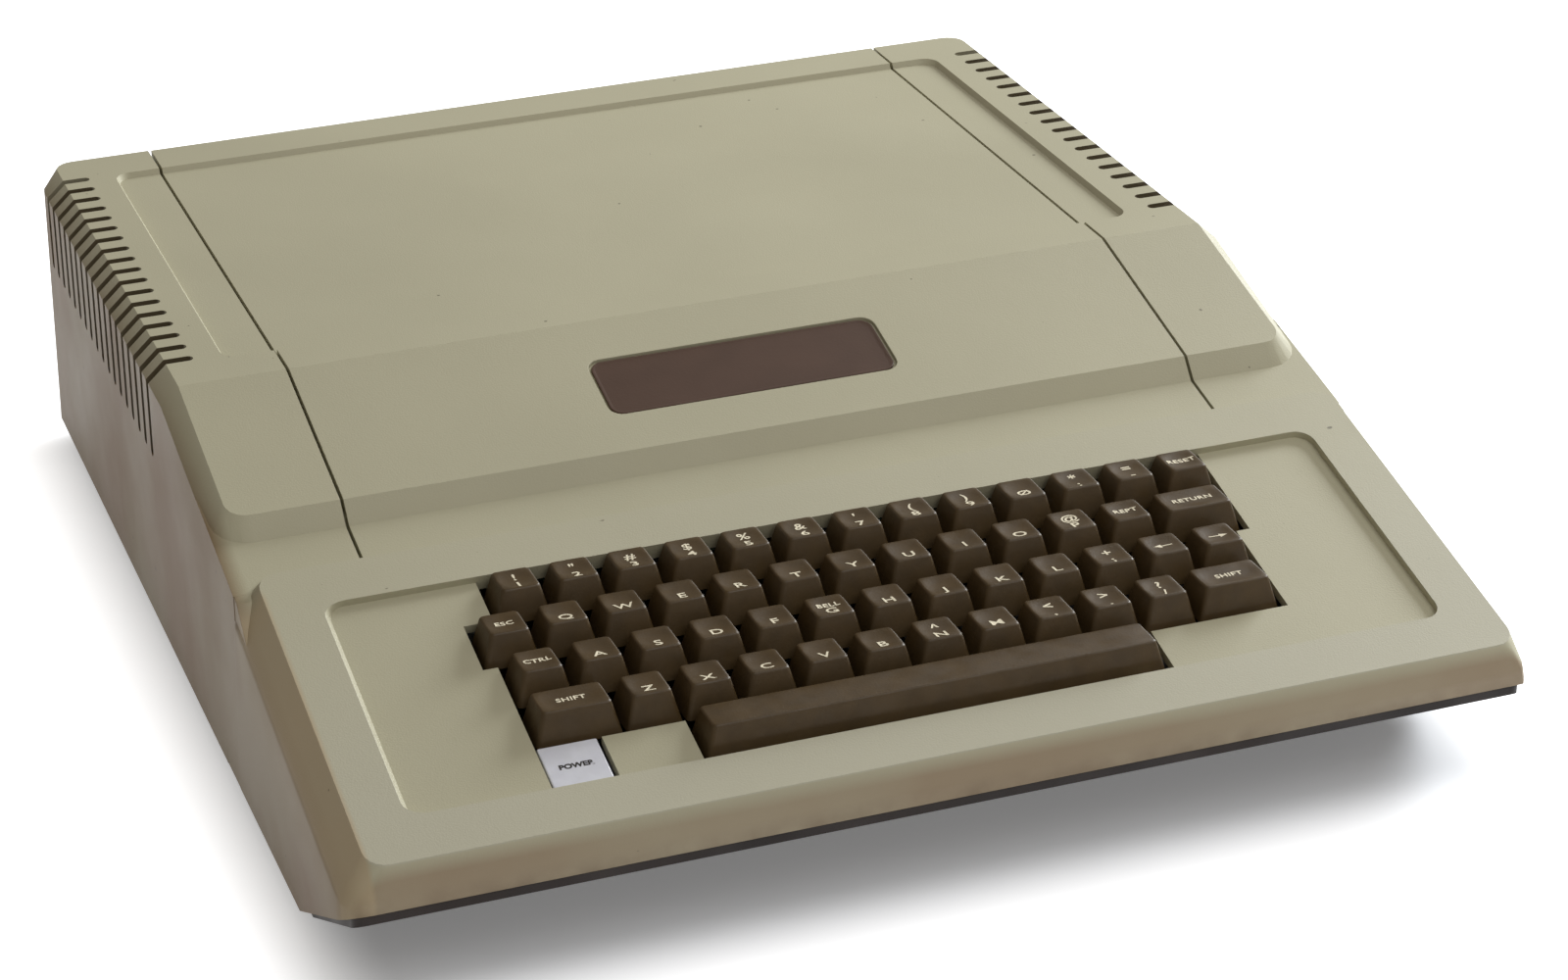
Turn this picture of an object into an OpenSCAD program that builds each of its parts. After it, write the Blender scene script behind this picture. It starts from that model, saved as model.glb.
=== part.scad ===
// Vintage home computer: a wedge-shaped case with a lift-off lid, a built-in
// sloping keyboard, a logic board with expansion slots and a boxed power supply.
// Millimetres. +X is to the right of a person typing, +Y is to the rear, +Z is up.
// The origin is on the desk, under the middle of the case.

/* [Case] */
// Width over the side walls at their lower edge
case_w = 387.4; // [380:0.1:392]
// Depth from the nose under the keyboard to the rear wall
case_d = 450; // [446:1:456]
// Height of the flat top above the desk
case_h = 110.5; // [106:0.5:114]
// Height of the case's lower edge above the desk
base_z = 8.4; // [7:0.1:9]
// Thickness of the moulded walls
wall = 3; // [2.5:0.1:4]
// Depth of the flat top, from the rear wall to the brow
top_d = 221.7; // [215:0.1:225]
// How far the brow's slope runs forward
slope_run = 67.7; // [60:0.1:72]
// How far the brow's slope drops
slope_drop = 17.8; // [15:0.1:20]
// How far the step below the brow runs forward
step_run = 5.9; // [4:0.1:8]
// How far the step below the brow drops
step_drop = 7; // [5:0.1:9]
// How far the valley in front of the step runs forward
valley_run = 17.5; // [15:0.1:20]
// How far the valley drops
valley_drop = 4; // [3:0.1:5]
// Chamfer along the sides of the top, measured down the side
edge_h = 6; // [4:0.1:8]
// Chamfer along the sides of the top, measured across the top
edge_w = 6.6; // [4:0.1:8]
// Height of the nose's lower edge above the desk
nose_z = 38.6; // [36:0.1:42]
// How far the underside runs back from the nose before it is level
undercut_d = 58.2; // [50:0.1:65]

/* [Keyboard deck] */
// Tilt of the deck and of the key rows
deck_tilt = 13.9; // [12:0.1:15]
// Distance from the nose to the rear edge of the keys
keys_rear_d = 115.6; // [114:0.1:117]
// Height of the tray's floor at the rear edge of the keys
tray_z = 77.5; // [76:0.1:79]
// Depth of the tray round the keys
tray_depth = 2.5; // [1.5:0.1:3]
// Left edge of the tray
tray_left = -165.8; // [-168:0.1:-160]
// Right edge of the tray
tray_right = 172; // [166:0.1:174]
// Half the width of the deck's flat top
deck_half_w = 183.3; // [180:0.1:185]
// Width of the rounded shoulder at the deck's sides
shoulder_w = 9.5; // [6:0.1:9.6]

/* [Keys] */
// Pitch of the keys
pitch = 19.05; // [19:0.01:19.2]
// Centre of the first key in the top row
first_key_x = -107; // [-109:0.1:-105]
// Width of a single key at its skirt
cap_base = 18; // [17.5:0.1:18.2]
// Width of a single key across its top
cap_top_w = 12.4; // [11.5:0.1:13.5]
// Front-to-back length of a key's top
cap_top_d = 13.4; // [12:0.1:14]
// Height of a key from skirt to top
cap_h = 11; // [10:0.1:12]
// Depth of the dish in a key's top
dish = 0.7; // [0.3:0.1:1]
// How far a key travels
travel = 3.8; // [3:0.1:4]
// Gap between the outermost keys' cells and the edge of the deck's cut-out
cutout_gap = 1; // [0.8:0.1:1.5]

/* [Lid and vents] */
// Half the width of the lid
lid_half_w = 148; // [146:0.1:149]
// Thickness of the lid at its rims
lid_t = 5; // [4.5:0.1:5.2]
// Gap between the lid and the case
lid_gap = 1.1; // [0.4:0.1:1.5]
// Depth of the shallow panel sunk into the top
panel_depth = 2; // [1:0.1:2.4]
// Number of vent slots on each side
vent_count = 18; // [10:1:18]
// Width of a vent slot
vent_w = 3.9; // [2:0.1:4.5]
// Pitch of the vent slots
vent_pitch = 10.56; // [9:0.01:10.6]
// Height of the lower ends of the vent slots
vent_z = 77; // [70:0.5:85]

/* [Inside] */
// Number of expansion slots
slot_count = 8; // [4:1:8]
// Pitch of the expansion slots
slot_pitch = 25.4; // [20:0.1:26]
// Width of the logic board
board_w = 222; // [210:1:226]
// Depth of the logic board
board_d = 350; // [330:1:354]
// Radius of the hole in a sound jack
jack_r = 1.8; // [1.7:0.05:1.9]
// How far the power switch rocks
rocker_swing = 20; // [10:1:24]

/* [Hidden] */
overlap = 1;                // how far a cutter passes the face that it cuts
arc_steps = 5;              // flats in a quarter round
rear_y = case_d / 2;
nose_y = -case_d / 2;
top_y = rear_y - top_d;
slope_y = top_y - slope_run;
slope_z = case_h - slope_drop;
step_y = slope_y - step_run;
step_z = slope_z - step_drop;
valley_y = step_y - valley_run;
valley_z = step_z - valley_drop;
flat_y = nose_y + undercut_d;
keys_y = nose_y + keys_rear_d;
half_w = case_w / 2;
side_w = half_w - 1.5;      // the side walls lean in by this much at the top
top_w = side_w - edge_w;
top_corner_r = 7;
side_corner_r = 13;
foot_corner_r = 6;
inner_w = half_w - 5.1;
slope_tilt = atan(slope_drop / slope_run);
valley_tilt = atan(valley_drop / valley_run);
deck_top = tray_depth;      // heights above the tray's floor, along the deck's normal
deck_rear = 19.3;
deck_front = -114.9;
pan_t = 2.6;
pan_z = base_z - 0.2;
pan_half_w = half_w - 3.8;
lid_lip = 13;
lid_front = valley_y + 0.7;
cap_drop = -4.9;            // height of the middle of a key's skirt above the tray's floor
cap_back = 0.3;
cap_wall = 1.3;
stem_w = 5.5;
stem_end = -15;
well_w = 6.4;
housing_w = 14;
housing_top = -11.5;
plate_z = -16;
key_board_z = -26;
lamp_u = -0.25;
cutout_rear = 1;
cutout_front = -5.1 * pitch;
board_x = -64;
board_z = 15;
board_t = 1.6;
board_rear = 212;
supply = [95, 262, 62];     // size of the power supply's box
supply_x = -180;
supply_y = -43;
supply_z = pan_z + 0.05;
switch_pos = [supply_x + 70, supply_y + supply[1] - 4, supply_z + 40];
inlet_pos = [supply_x + 32, supply_y + supply[1], supply_z + 38];
jack_z = board_z + board_t + 6;
jack_x = [116, 134, 150];
post_x = inner_w - 3.2;
post_y = [-60, 60, 205];
stud_x = 128;
stud_y = 203;
stud_r = 4;
stud_z = 96.5;
case_colour = "#B0AA8F";
key_colour = "#3B3128";

// Each row of keys: names, then the centre of its first key in key pitches
number_row = ["1", "2", "3", "4", "5", "6", "7", "8", "9", "0", "colon", "minus", "reset"];
upper_row = ["q", "w", "e", "r", "t", "y", "u", "i", "o", "p", "repeat"];
home_row = ["a", "s", "d", "f", "g", "h", "j", "k", "l", "semicolon", "left_arrow", "right_arrow"];
lower_row = ["z", "x", "c", "v", "b", "n", "m", "comma", "full_stop", "slash"];
function run_of_keys(names, row, first) =
    [for (i = [0:len(names) - 1]) [str("key_", names[i]), first + i, row, 1]];
// Each key: its node's name, its centre and row in key pitches, and its width in key pitches
KEYS = concat(
    run_of_keys(number_row, 0, 0),
    [["key_escape", -0.5, 1, 1]],
    run_of_keys(upper_row, 1, 0.5),
    [["key_return", 11.75, 1, 1.5]],
    [["key_control", -0.25, 2, 1]],
    run_of_keys(home_row, 2, 0.75),
    [["key_shift_left", 0, 3, 1.5]],
    run_of_keys(lower_row, 3, 1.25),
    [["key_shift_right", 11.5, 3, 1.5]],
    [["key_space", 5.75, 4, 8]]
);

function arc(x, y, r, from, to) =
    r <= 0 ? [[x, y]]
           : [for (i = [0:arc_steps]) let (a = from + (to - from) * i / arc_steps)
                 [x + r * cos(a), y + r * sin(a)]];

// Outline seen from above, with its own corner radius at the front and at the rear
function outline(left, right, front, rear, r_front, r_rear) = concat(
    arc(right - r_rear, rear - r_rear, r_rear, 0, 90),
    arc(left + r_rear, rear - r_rear, r_rear, 90, 180),
    arc(left + r_front, front + r_front, r_front, 180, 270),
    arc(right - r_front, front + r_front, r_front, 270, 360)
);

function even_outline(w, front, rear, r_front, r_rear) =
    outline(-w, w, front, rear, r_front, r_rear);

// Height of the case's top over a place along its depth
function top_height(y) = lookup(y, [
    [valley_y - valley_run, valley_z - valley_drop],
    [step_y, step_z],
    [slope_y, slope_z],
    [top_y, case_h],
    [rear_y, case_h]
]);

// The top of the case in profile, lowered by a depth, between two places along its depth
function top_line(depth, rear, front) = [
    for (y = concat(rear, [for (bend = [top_y, slope_y, step_y]) if (bend > front) bend], front))
        [y, top_height(y) - depth]
];

function backwards(points) = [for (i = [len(points) - 1:-1:0]) points[i]];

// A point of the deck, from its place along and above the tray, in profile
function deck_point(along, above) = [
    keys_y + along * cos(deck_tilt) - above * sin(deck_tilt),
    tray_z + along * sin(deck_tilt) + above * cos(deck_tilt)
];

// An outline lifted to a height
function lifted(points, z) = [for (p = points) [p[0], p[1], z]];

// Points turned up from level about X, then moved to a place in profile
function tilted(points, angle, y, z) = [
    for (p = points) [
        p[0],
        y + p[1] * cos(angle) - p[2] * sin(angle),
        z + p[1] * sin(angle) + p[2] * cos(angle)
    ]
];

// A convex block stretched over points
module stretched(points) {
    hull() polyhedron(points, [[for (i = [0:len(points) - 1]) i]]);
}

// Stretches a profile, drawn in Y and Z, across the width from one X to another
module across(points, from, to) {
    translate([from, 0, 0]) rotate([90, 0, 90]) linear_extrude(to - from) polygon(points);
}

// Stretches a section, drawn in X and Z, along the depth from one Y to another
module along(points, from, to) {
    translate([0, to, 0]) rotate([90, 0, 0]) linear_extrude(to - from) polygon(points);
}

module on_deck() {
    translate([0, keys_y, tray_z]) rotate([deck_tilt, 0, 0]) children();
}

// The high rear block: flat top, brow and step, with chamfered sides and rounded corners.
// Its step runs on a little way under the valley's surface.
module rear_block() {
    run = slope_run / 2;
    below = 0.2;
    foot_y = step_y - step_run * below;
    foot_z = step_z - step_drop * below;
    stretched(concat(
        lifted(even_outline(top_w, top_y, rear_y, 0, top_corner_r), case_h),
        lifted(even_outline(side_w, top_y - 0.8, rear_y, 0, side_corner_r), case_h - edge_h),
        tilted(lifted(even_outline(top_w, 0, run, top_corner_r, 0), 0), slope_tilt, slope_y, slope_z),
        tilted(lifted(even_outline(side_w - 0.4, 0, run, side_corner_r, 0), 0),
               valley_tilt, foot_y, foot_z),
        lifted(even_outline(half_w, step_y, rear_y, 0, foot_corner_r), base_z)
    ));
}

// The low strip between the step and the keyboard deck
module valley_block() {
    behind = side_corner_r * 2;
    stretched(concat(
        tilted(lifted(even_outline(side_w - 0.3, -valley_run * 1.4, behind, 0, 0), 0),
               valley_tilt, step_y, step_z),
        lifted(even_outline(half_w - 0.1, valley_y - 10, step_y + behind, 0, 0), base_z)
    ));
}

// The keyboard deck and nose: a flat band falls away all round from a crisp crease. Each
// ring below the crease is a share of the way out and of the way down to the nose's edge;
// in front the rings stand over one another, above an undercut that runs back to the base.
module deck_block() {
    rings = [[0, 0], [0.68, 0.59], [0.86, 0.77], [0.96, 0.91], [1, 1]];
    nose_drop = deck_top - (cos(deck_tilt) * (nose_z - tray_z) + sin(deck_tilt) * keys_rear_d);
    nose_along = -keys_rear_d * cos(deck_tilt) + (nose_z - tray_z) * sin(deck_tilt);
    corner_r = top_corner_r + shoulder_w / 3;
    slope = (nose_z - base_z) / undercut_d;
    stretched(concat(
        [for (ring = rings)
            let (out = shoulder_w * ring[0],
                 front = ring[1] == 0 ? deck_front
                                      : nose_along + (1 - ring[1]) * nose_drop * tan(deck_tilt))
            for (p = tilted(lifted(even_outline(deck_half_w + out, front, deck_rear + out * 0.4,
                                                top_corner_r + out / 3, top_corner_r + out * 0.6),
                                   deck_top - ring[1] * nose_drop), deck_tilt, keys_y, tray_z)) p],
        [for (p = even_outline(deck_half_w + shoulder_w, nose_y, flat_y, corner_r, 0))
            if (p[1] > nose_y + 0.1 && p[1] < flat_y - 1)
                [p[0], p[1], nose_z - (p[1] - nose_y) * slope]],
        lifted(even_outline(half_w, flat_y, valley_y, 0, 0), base_z)
    ));
}

module case_outside() {
    rear_block();
    valley_block();
    deck_block();
}

// The space inside the case, open below
module case_inside() {
    ceiling = lid_t;
    intersection() {
        across(concat(
            [[rear_y - wall, 0]],
            top_line(ceiling, rear_y - wall, valley_y),
            [deck_point(deck_rear - wall, -wall), deck_point(deck_front + 2 * wall, -wall),
             [nose_y + 1.5 * wall, nose_z], [nose_y + 1.5 * wall, 0]]
        ), -half_w, half_w);
        along([
            [-inner_w, 0], [-inner_w + 1.4, case_h - 2.5 * wall],
            [-top_w + 1, case_h - wall], [top_w - 1, case_h - wall],
            [inner_w - 1.4, case_h - 2.5 * wall], [inner_w, 0]
        ], nose_y, rear_y);
        on_deck() along([
            [-inner_w - 1, -2 * case_h], [-inner_w - 1, -4 * wall],
            [-deck_half_w + 0.5, -wall], [-deck_half_w + 0.5, 2 * case_h],
            [deck_half_w - 0.5, 2 * case_h], [deck_half_w - 0.5, -wall],
            [inner_w + 1, -4 * wall], [inner_w + 1, -2 * case_h]
        ], -case_d, case_d);
    }
}

// A prism that follows the lid's place: the band between two depths below the top
module lid_band(shallow, deep, from, to, rear, front) {
    across(concat(top_line(shallow, rear, front), backwards(top_line(deep, rear, front))), from, to);
}

// The space that the lid drops into
module lid_pocket() {
    w = lid_half_w + lid_gap;
    lid_band(-2 * overlap, lid_t + 0.3, -w, w, rear_y + overlap, lid_front - lid_gap);
    translate([-w, rear_y - wall - lid_gap, case_h - lid_lip - lid_gap])
        cube([2 * w, wall + lid_gap + overlap, lid_lip]);
}

// The shallow panel sunk into the case's top and the lid alike
module top_panel_recess() {
    side = 166.5;
    front = 20;
    rear = 204.8;
    run = 1.2;
    flare = run * overlap / panel_depth;
    stretched(concat(
        lifted(even_outline(side + flare, front - flare, rear + flare, 6 + flare, 6 + flare),
               case_h + overlap),
        lifted(even_outline(side - run, front + run, rear - run, 5, 5), case_h - panel_depth)
    ));
}

// The badge's place in the brow, left without a badge
module badge_recess() {
    half_w = 51.5;
    translate([0, slope_y, slope_z]) rotate([slope_tilt, 0, 0])
        translate([0, 0, -1.4])
            linear_extrude(1.4 + overlap) polygon(even_outline(half_w, 18.6, 48.6, 5, 5));
}

// One vent slot on the right: through the top, the chamfer and the side wall
module vent_slot() {
    inner_end = top_w - 9.7 + vent_w / 2;
    reach = half_w + overlap - inner_end;
    translate([inner_end, -vent_w / 2, vent_z + vent_w / 2])
        cube([reach, vent_w, case_h]);
    translate([inner_end, 0, vent_z + 8])
        cylinder(d = vent_w, h = case_h, $fn = 24);
    translate([inner_end, 0, vent_z + vent_w / 2]) rotate([0, 90, 0])
        cylinder(d = vent_w, h = reach, $fn = 24);
}

module vents() {
    rearmost = 204;
    for (i = [0:vent_count - 1], side = [0, 1])
        mirror([side, 0, 0]) translate([0, rearmost - i * vent_pitch, 0]) vent_slot();
}

// The cut-out that follows the staggered rows of keys, with the lamp's place
module key_cutout() {
    left = [-0.5, -1, -0.75, -0.75];
    right = [12.5, 12.5, 12.25, 12.25];
    on_deck() translate([first_key_x, 0, -4 * wall]) linear_extrude(8 * wall) {
        for (row = [0:3]) {
            rear = row == 0 ? cutout_rear : cutout_gap - row * pitch;
            front = -(row + 1) * pitch - cutout_gap;
            translate([left[row] * pitch - cutout_gap, front])
                square([(right[row] - left[row]) * pitch + 2 * cutout_gap, rear - front]);
        }
        for (span = [[lamp_u - 0.5, lamp_u + 0.5], [1.75, 9.75]])
            translate([span[0] * pitch - cutout_gap, cutout_front])
                square([(span[1] - span[0]) * pitch + 2 * cutout_gap, -cutout_front - 4 * pitch]);
    }
}

module tray_recess() {
    on_deck() linear_extrude(3 * tray_depth)
        polygon(outline(tray_left, tray_right, cutout_front, cutout_rear, 6, 6));
}

// Openings in the rear wall: four cable notches, the power supply's window and the jacks' window
module rear_openings() {
    for (x = [-62, -18, 26, 70]) {
        translate([x - 8, rear_y - 2 * wall, 52]) cube([16, 4 * wall, case_h]);
        translate([x, rear_y + overlap, 52]) rotate([90, 0, 0])
            cylinder(r = 8, h = 3 * wall, $fn = 48);
    }
    translate([supply_x + 6, rear_y - 2 * wall, supply_z + 4])
        cube([supply[0] - 12, 4 * wall, supply[2] - 8]);
    translate([jack_x[0] - 14, rear_y - 2 * wall, base_z + 4])
        cube([jack_x[2] - jack_x[0] + 26, 4 * wall, 26]);
}

// Rails under the lid's long edges, which carry it
module lid_rails() {
    for (side = [0, 1]) mirror([side, 0, 0])
        lid_band(lid_t - 0.1, lid_t + 4, lid_half_w - 8, lid_half_w + 8, rear_y - wall / 2, lid_front);
}

// Columns that the base pan's screws and the keyboard's screws go into
module screw_posts() {
    for (side = [-1, 1], y = post_y)
        translate([side * post_x, y, base_z]) cylinder(r = 4, h = 40, $fn = 32);
    on_deck() for (x = [-150, 158], y = [-88, -6])
        translate([x, y, plate_z + 1.7]) cylinder(r = 5, h = -plate_z - 1.7 - wall / 2, $fn = 32);
}

// Shelves on the rear wall, each with a hole that a stud of the lid drops into
module stud_shelves() {
    for (side = [-1, 1]) difference() {
        translate([side * stud_x - 8, stud_y - 8, stud_z - 4])
            cube([16, rear_y - wall / 2 - stud_y + 8, 3.6]);
        translate([side * stud_x, stud_y, 0]) cylinder(r = stud_r + 0.4, h = case_h, $fn = 48);
    }
}

module upper_case() color(case_colour) {
    difference() {
        union() {
            difference() {
                case_outside();
                case_inside();
            }
            lid_rails();
            screw_posts();
            stud_shelves();
        }
        lid_pocket();
        top_panel_recess();
        vents();
        tray_recess();
        key_cutout();
        rear_openings();
    }
}

// The lift-off lid: rear rim, sunk panel, brow and step in one moulding, with two
// snap studs at the rear
module lid() color(case_colour) {
    rear = rear_y - 0.2;
    difference() {
        union() {
            across(concat(
                [[rear, case_h - lid_lip]],
                top_line(0, rear, lid_front),
                backwards(top_line(lid_t, rear - wall, lid_front)),
                [[rear - wall, case_h - lid_lip]]
            ), -lid_half_w, lid_half_w);
            for (x = [-60, 0, 60])
                lid_band(lid_t - 0.5, lid_t + 5, x - 1, x + 1, rear - 2 * wall, slope_y + 12);
        }
        top_panel_recess();
        badge_recess();
    }
    for (side = [-1, 1]) translate([side * stud_x, stud_y, stud_z]) {
        cylinder(r = 2.5, h = case_h - lid_t / 2 - stud_z, $fn = 32);
        sphere(r = stud_r, $fn = 32);
    }
}

module foot(x, y) {
    translate([x, y, 0]) cylinder(r1 = 9, r2 = 10, h = pan_z - pan_t - 0.05, $fn = 48);
}

// The dark pan that closes the case from below and turns up under the nose
module base_pan() color("#2B2320") {
    lower = pan_z - pan_t;
    slope = (nose_z - base_z) / undercut_d;
    front = nose_y + 1;
    rise = (flat_y - front) * slope;
    difference() {
        intersection() {
            across([
                [rear_y - 4, lower], [rear_y - 4, pan_z], [flat_y, pan_z],
                [front, pan_z + rise], [front, lower + rise - 0.3], [flat_y - 0.6, lower]
            ], -pan_half_w, pan_half_w);
            translate([0, 0, -overlap]) linear_extrude(case_h)
                polygon(even_outline(pan_half_w, front, rear_y - 4, 4, 8));
        }
        for (x = [-150:20:-110], y = [-20:14:160])
            translate([x, y, 0]) cylinder(r = 2.5, h = case_h, $fn = 20);
    }
    for (x = [board_x + 12, board_x + board_w - 12], y = [-120, 30, 190])
        translate([x, y, pan_z - 0.5]) cylinder(r = 3, h = board_z - pan_z + 0.45, $fn = 24);
    for (x = [-150, 150], y = [-140, 196]) foot(x, y);
    for (side = [-1, 1], y = post_y)
        translate([side * post_x, y, lower - 1.45]) cylinder(r = 3.2, h = 1.4, $fn = 24);
}

// Switch plate, switch housings and the keyboard's circuit board
module keyboard_frame() color("#4A4A44") on_deck() {
    left = first_key_x - pitch * 1.3;
    right = first_key_x + pitch * 12.8;
    difference() {
        union() {
            translate([left, -4.75 * pitch, plate_z])
                cube([right - left, 4.85 * pitch, 1.6]);
            for (x = [-150, 158], y = [-88, -6])
                translate([x < 0 ? x - 7 : right - 1, y - 6, plate_z])
                    cube([x < 0 ? left - x + 8 : x - right + 8, 12, 1.6]);
            translate([left + 2, -4.7 * pitch, key_board_z])
                cube([right - left - 4, 4.75 * pitch, 1.6]);
            for (k = KEYS) translate(key_centre(k)) {
                translate([-housing_w / 2, -housing_w / 2, key_board_z])
                    cube([housing_w, housing_w, housing_top - key_board_z]);
            }
        }
        for (k = KEYS) translate(key_centre(k))
            translate([-well_w / 2, -well_w / 2, key_board_z + 2.4])
                cube([well_w, well_w, -key_board_z]);
    }
}

// A key's centre on the tray's floor
function key_centre(k) = [first_key_x + k[1] * pitch, -(k[2] + 0.5) * pitch, 0];

// A tapered block with rounded upright corners: half sizes at its foot and at its top
module tapered_block(foot_w, foot_d, top_w, top_d, h, r_foot, r_top) {
    stretched(concat(
        lifted(even_outline(foot_w, -foot_d, foot_d, r_foot, r_foot), 0),
        lifted(even_outline(top_w, -top_d, top_d, r_top, r_top), h)
    ));
}

// A key with a dished top, a hollow skirt and a stem; its top is level when the deck is tilted
module key(k) color(key_colour) on_deck() translate(key_centre(k)) {
    extra = (k[3] - 1) * pitch / 2;
    foot = cap_base / 2;
    top_w = cap_top_w / 2 + extra;
    top_d = cap_top_d / 2;
    dish_r = pow(cap_top_w / 2, 2) / (2 * dish) + dish / 2;
    roof = cap_h - 2.2;
    difference() {
        translate([0, cap_back, cap_drop]) rotate([-deck_tilt, 0, 0]) difference() {
            tapered_block(foot + extra, foot, top_w, top_d, cap_h, 1.2, 1.8);
            translate([0, 0, cap_h + dish_r - dish]) {
                if (k[3] == 1) sphere(r = dish_r, $fn = 64);
                if (k[3] == 1.5) rotate([0, 90, 0])
                    cylinder(r = dish_r, h = 4 * pitch, center = true, $fn = 64);
            }
        }
        translate([0, cap_back, cap_drop]) rotate([-deck_tilt, 0, 0])
            hollow(foot + extra - cap_wall, foot - cap_wall,
                   top_w - cap_wall, top_d - cap_wall, roof);
    }
    translate([-stem_w / 2, -stem_w / 2, stem_end])
        cube([stem_w, stem_w, roof + cap_drop - stem_end]);
}

// The inside of a key: a four-sided taper, open below
module hollow(foot_w, foot_d, top_w, top_d, h) {
    flare = (foot_w - top_w) / h;
    flare_d = (foot_d - top_d) / h;
    intersection() {
        along([
            [-foot_w - flare, -overlap], [-top_w, h], [top_w, h], [foot_w + flare, -overlap]
        ], -foot_d - overlap, foot_d + overlap);
        across([
            [-foot_d - flare_d, -overlap], [-top_d, h], [top_d, h], [foot_d + flare_d, -overlap]
        ], -foot_w - overlap, foot_w + overlap);
    }
}

// The square lamp cap at the left end of the lowest row; it doesn't move
module power_lamp() color("#DCDCE6") on_deck() {
    w = 18.9;
    d = 19.85;
    lower = plate_z + 1.65;
    tall = -0.2 - lower;
    translate([first_key_x + lamp_u * pitch - w / 2 - 0.5, cutout_front + 0.4, lower]) {
        difference() {
            cube([w, d, tall]);
            translate([1.2, 1.2, -overlap]) cube([w - 2.4, d - 2.4, tall]);
        }
        translate([w / 2, d / 2, 0]) cylinder(r = 3, h = 7, $fn = 32);
    }
}

// One chip lying front to back: its body stands a little off the board on its pins
module chip(x, y, w, d) {
    translate([x - w / 2, y - d / 2, board_t - 0.2]) cube([w, d, 4]);
}

module expansion_slot(x) {
    w = 8.6;
    d = 86;
    y = board_rear - 18 - d;
    difference() {
        translate([x - w / 2, y, board_t - 0.2]) cube([w, d, 14.2]);
        translate([x - 1, y + 5, board_t + 4]) cube([2, d - 10, 14]);
    }
}

// Sound and picture jacks at the board's rear edge
module jack(x) {
    length = 14;
    difference() {
        union() {
            translate([x - 5, board_rear - length, board_t + 0.05]) cube([10, length, 11]);
            translate([x, board_rear - 1, jack_z - board_z]) rotate([-90, 0, 0])
                cylinder(r = 4.2, h = 8, $fn = 48);
        }
        translate([x, board_rear - 8, jack_z - board_z]) rotate([-90, 0, 0])
            cylinder(r = jack_r, h = 20, $fn = 48);
    }
}

module logic_board() color("#2F5A3A") translate([0, 0, board_z]) {
    columns = 14;
    column_pitch = board_w / columns;
    row_pitch = 26.5;
    first_y = board_rear - 112;
    translate([board_x, board_rear - board_d, 0]) cube([board_w, board_d, board_t]);
    for (i = [0:slot_count - 1]) expansion_slot(board_x + 20 + i * slot_pitch);
    for (row = [0:7], c = [0:columns - 1]) {
        x = board_x + (c + 0.5) * column_pitch;
        y = first_y - row * row_pitch;
        wide = row == 1 || row == 2;
        if (wide && c % 2 == 0 && c < 12) chip(x + column_pitch / 2, y, 14, 24);
        if (!wide) chip(x, y, 6.4, 19.5);
    }
    chip(board_x + board_w - 16, first_y - 1.5 * row_pitch, 14, 52);
    for (x = jack_x) jack(x);
}

// The boxed power supply, with air slots, an inlet and the switch's frame
module power_supply() color("#B9AE86") {
    t = 1.5;
    end = supply_y + supply[1];
    difference() {
        union() {
            difference() {
                translate([supply_x, supply_y, supply_z]) linear_extrude(supply[2])
                    polygon(outline(0, supply[0], 0, supply[1], 3, 3));
                translate([supply_x + t, supply_y + t, supply_z + t])
                    cube([supply[0] - 2 * t, supply[1] - 2 * t, supply[2] - 2 * t]);
            }
            translate([inlet_pos[0] - 15, end - 20, inlet_pos[2] - 12]) cube([30, 19.5, 24]);
            translate([switch_pos[0] - 13, end - 20, switch_pos[2] - 11]) cube([26, 19.5, 22]);
        }
        translate([inlet_pos[0] - 12.2, end - 17, inlet_pos[2] - 8.2]) cube([24.4, 20, 16.4]);
        translate([switch_pos[0] - 10.6, end - 15, switch_pos[2] - 8.5]) cube([21.2, 20, 17]);
        for (y = [20:9:supply[1] - 50], x = [14, 56])
            translate([supply_x + x, supply_y + y, supply_z + supply[2] - 2 * t])
                cube([25, 3, 3 * t]);
        for (y = [20:9:supply[1] - 50])
            translate([supply_x + supply[0] - 2 * t, supply_y + y, supply_z + 18])
                cube([3 * t, 3, 26]);
    }
    for (side = [-1, 0, 1])
        translate([inlet_pos[0] + side * 7 - 1, end - 18, inlet_pos[2] + 1 - abs(side) * 4])
            cube([2, 12, 4]);
}

// The rocker: a barrel on its axis with two flats, lying in its off position
module power_switch() color("#1E1C1A") {
    half_swing = rocker_swing / 2;
    length = 20;
    translate(switch_pos) rotate([-half_swing, 0, 0]) {
        across([
            [-5, -3], [2, -7], [4.6, -7], [3.4, 0], [4.6, 7], [2, 7], [-5, 3]
        ], -length / 2, length / 2);
        rotate([0, 90, 0]) cylinder(r = 2.4, h = length + 0.4, center = true, $fn = 32);
    }
}

upper_case();
lid();
base_pan();
keyboard_frame();
power_lamp();
logic_board();
power_supply();
power_switch();
for (k = KEYS) key(k);
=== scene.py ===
"""Looks of a vintage home computer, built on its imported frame.

Moulded ABS shells, dished key caps with moulded-in legends, a painted steel pan on
rubber feet, and the circuit board and power supply under the lift-off lid.
"""
import math

import bmesh
import bpy
from bpy.props import FloatProperty, FloatVectorProperty, PointerProperty
from mathutils import Matrix, Vector


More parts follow.
